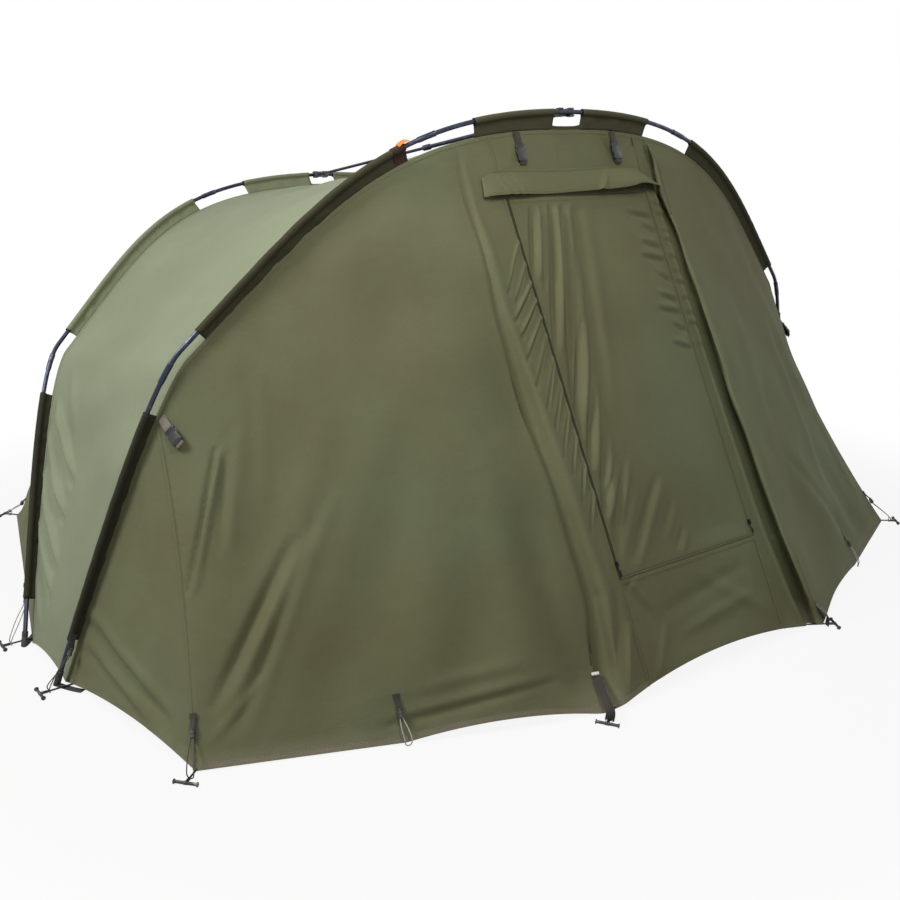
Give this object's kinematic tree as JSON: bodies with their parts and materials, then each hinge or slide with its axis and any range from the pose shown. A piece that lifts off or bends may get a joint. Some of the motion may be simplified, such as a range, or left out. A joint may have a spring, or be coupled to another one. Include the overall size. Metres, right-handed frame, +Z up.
{
  "type": "bivvy tent",
  "caption": "Dome bivvy tent on splayed ribs with a ridge bar, sleeved skin, zipped front door under a rain hood, toggled elastic pegging loops and T-pegs.",
  "frame": {"origin": "on the ground, under the middle of the whole tent with its pegs", "axes": "+X to the right as one faces the door from outside is to the viewer's right, -Y out of the door, +Z up"},
  "size_m": [3.201, 2.6002, 1.5093],
  "materials": {
    "front_cloth": "olive green coated polyester, matt, finely woven",
    "roof_cloth": "lighter sage green coated polyester, matt",
    "sleeve_cloth": "dark olive tape cloth, matt",
    "anodised_tube": "dark blue black anodised aluminium tube, satin",
    "moulded_plastic": "black moulded nylon",
    "webbing": "dark polypropylene webbing with a black moulded buckle",
    "zip_coil": "dark coil zip on woven tape",
    "slider_metal": "black lacquered die-cast slider",
    "elastic_cord": "grey elastic cord in a woven cover, with a moulded toggle and webbing tab",
    "peg_steel": "dark steel, satin"
  },
  "bodies": {
    "tent": {"door_header": "front_cloth", "door_valance": "front_cloth", "door_zip": "zip_coil", "front_panel_left": "front_cloth", "front_panel_right": "front_cloth", "front_rib_section_1": "anodised_tube", "front_rib_section_2": "anodised_tube", "front_rib_section_3": "anodised_tube", "front_rib_section_4": "anodised_tube", "front_rib_section_5": "anodised_tube", "front_sleeve_crown": "sleeve_cloth", "front_sleeve_low_left": "sleeve_cloth", "front_sleeve_low_right": "sleeve_cloth", "front_sleeve_side_left": "sleeve_cloth", "front_sleeve_side_right": "sleeve_cloth", "front_wing_left": "front_cloth", "front_wing_right": "front_cloth", "loop_front_corner_left": "elastic_cord", "loop_front_corner_right": "elastic_cord", "loop_front_foot_left": "elastic_cord", "loop_front_foot_right": "elastic_cord", "loop_front_middle_left": "elastic_cord", "loop_front_middle_right": "elastic_cord", "loop_rear_corner_left": "elastic_cord", "loop_rear_corner_right": "elastic_cord", "loop_rear_foot_left": "elastic_cord", "loop_rear_foot_right": "elastic_cord", "rear_panel": "front_cloth", "rear_rib_section_1": "anodised_tube", "rear_rib_section_2": "anodised_tube", "rear_rib_section_3": "anodised_tube", "rear_rib_section_4": "anodised_tube", "rear_rib_section_5": "anodised_tube", "rear_sleeve_crown": "sleeve_cloth", "rear_sleeve_low_left": "sleeve_cloth", "rear_sleeve_low_right": "sleeve_cloth", "rear_sleeve_side_left": "sleeve_cloth", "rear_sleeve_side_right": "sleeve_cloth", "ridge_bar_outer": "anodised_tube", "ridge_clip_front": "moulded_plastic", "roof_panel": "roof_cloth"},
    "door": {"door_panel": "front_cloth"},
    "hood": {"door_hood": "front_cloth"},
    "slider_left": {"zip_slider_left": "slider_metal"},
    "slider_right": {"zip_slider_right": "slider_metal"},
    "crown_strap_left": {"crown_strap_left": "webbing"},
    "crown_strap_right": {"crown_strap_right": "webbing"},
    "low_strap_left": {"low_strap_left": "webbing"},
    "low_strap_right": {"low_strap_right": "webbing"},
    "ridge_slide": {"ridge_bar_inner": "anodised_tube"},
    "peg_front_corner_left": {"peg_front_corner_left": "peg_steel"},
    "peg_front_corner_right": {"peg_front_corner_right": "peg_steel"},
    "peg_door_corner_left": {"peg_door_corner_left": "peg_steel"},
    "peg_door_corner_right": {"peg_door_corner_right": "peg_steel"},
    "peg_rear_corner_left": {"peg_rear_corner_left": "peg_steel"},
    "peg_rear_corner_right": {"peg_rear_corner_right": "peg_steel"},
    "peg_front_foot_left": {"peg_front_foot_left": "peg_steel"},
    "peg_front_foot_right": {"peg_front_foot_right": "peg_steel"},
    "peg_rear_foot_left": {"peg_rear_foot_left": "peg_steel"},
    "peg_rear_foot_right": {"peg_rear_foot_right": "peg_steel"}
  },
  "joints": [
    {"name": "door_swing", "type": "hinge", "parent": "tent", "child": "door", "pos_m": [0, -0.58366, 1.26255], "axis": [-1, 0, 0], "range_deg": [0, 95]},
    {"name": "hood_lift", "type": "hinge", "parent": "tent", "child": "hood", "pos_m": [0, -0.55665, 1.33869], "axis": [-1, 0, 0], "range_deg": [0, 80]},
    {"name": "slider_left_travel", "type": "slide", "parent": "tent", "child": "slider_left", "axis": [0, 0.4626, 0.8865], "range_m": [0, 1.048]},
    {"name": "slider_right_travel", "type": "slide", "parent": "tent", "child": "slider_right", "axis": [0, 0.4626, 0.8865], "range_m": [0, 1.048]},
    {"name": "crown_strap_left_lift", "type": "hinge", "parent": "tent", "child": "crown_strap_left", "pos_m": [-0.19, -0.51502, 1.43936], "axis": [-1, 0, 0], "range_deg": [0, 90]},
    {"name": "crown_strap_right_lift", "type": "hinge", "parent": "tent", "child": "crown_strap_right", "pos_m": [0.19, -0.51502, 1.43936], "axis": [-1, 0, 0], "range_deg": [0, 90]},
    {"name": "low_strap_left_lift", "type": "hinge", "parent": "tent", "child": "low_strap_left", "pos_m": [-1.25521, -0.39587, 0.74112], "axis": [-0.4919, 0.4611, -0.7385], "range_deg": [0, 90]},
    {"name": "low_strap_right_lift", "type": "hinge", "parent": "tent", "child": "low_strap_right", "pos_m": [1.25521, -0.39587, 0.74112], "axis": [-0.4919, -0.4611, 0.7385], "range_deg": [0, 90]},
    {"name": "ridge_bar_travel", "type": "slide", "parent": "tent", "child": "ridge_slide", "axis": [0, -0.9864, 0.1646], "range_m": [0, 0.08]},
    {"name": "peg_front_corner_left_pull", "type": "slide", "parent": "tent", "child": "peg_front_corner_left", "axis": [-0.7697, -0.6384, 0], "range_m": [0, 0.19]},
    {"name": "peg_front_corner_right_pull", "type": "slide", "parent": "tent", "child": "peg_front_corner_right", "axis": [0.7697, -0.6384, 0], "range_m": [0, 0.19]},
    {"name": "peg_door_corner_left_pull", "type": "slide", "parent": "tent", "child": "peg_door_corner_left", "axis": [-0.848, -0.5299, 0], "range_m": [0, 0.19]},
    {"name": "peg_door_corner_right_pull", "type": "slide", "parent": "tent", "child": "peg_door_corner_right", "axis": [0.848, -0.5299, 0], "range_m": [0, 0.19]},
    {"name": "peg_rear_corner_left_pull", "type": "slide", "parent": "tent", "child": "peg_rear_corner_left", "axis": [-0.6059, 0.7956, 0], "range_m": [0, 0.19]},
    {"name": "peg_rear_corner_right_pull", "type": "slide", "parent": "tent", "child": "peg_rear_corner_right", "axis": [0.6059, 0.7956, 0], "range_m": [0, 0.19]},
    {"name": "peg_front_foot_left_pull", "type": "slide", "parent": "tent", "child": "peg_front_foot_left", "axis": [-1, 0, 0], "range_m": [0, 0.19]},
    {"name": "peg_front_foot_right_pull", "type": "slide", "parent": "tent", "child": "peg_front_foot_right", "axis": [1, 0, 0], "range_m": [0, 0.19]},
    {"name": "peg_rear_foot_left_pull", "type": "slide", "parent": "tent", "child": "peg_rear_foot_left", "axis": [-1, 0, 0], "range_m": [0, 0.19]},
    {"name": "peg_rear_foot_right_pull", "type": "slide", "parent": "tent", "child": "peg_rear_foot_right", "axis": [1, 0, 0], "range_m": [0, 0.19]}
  ]
}
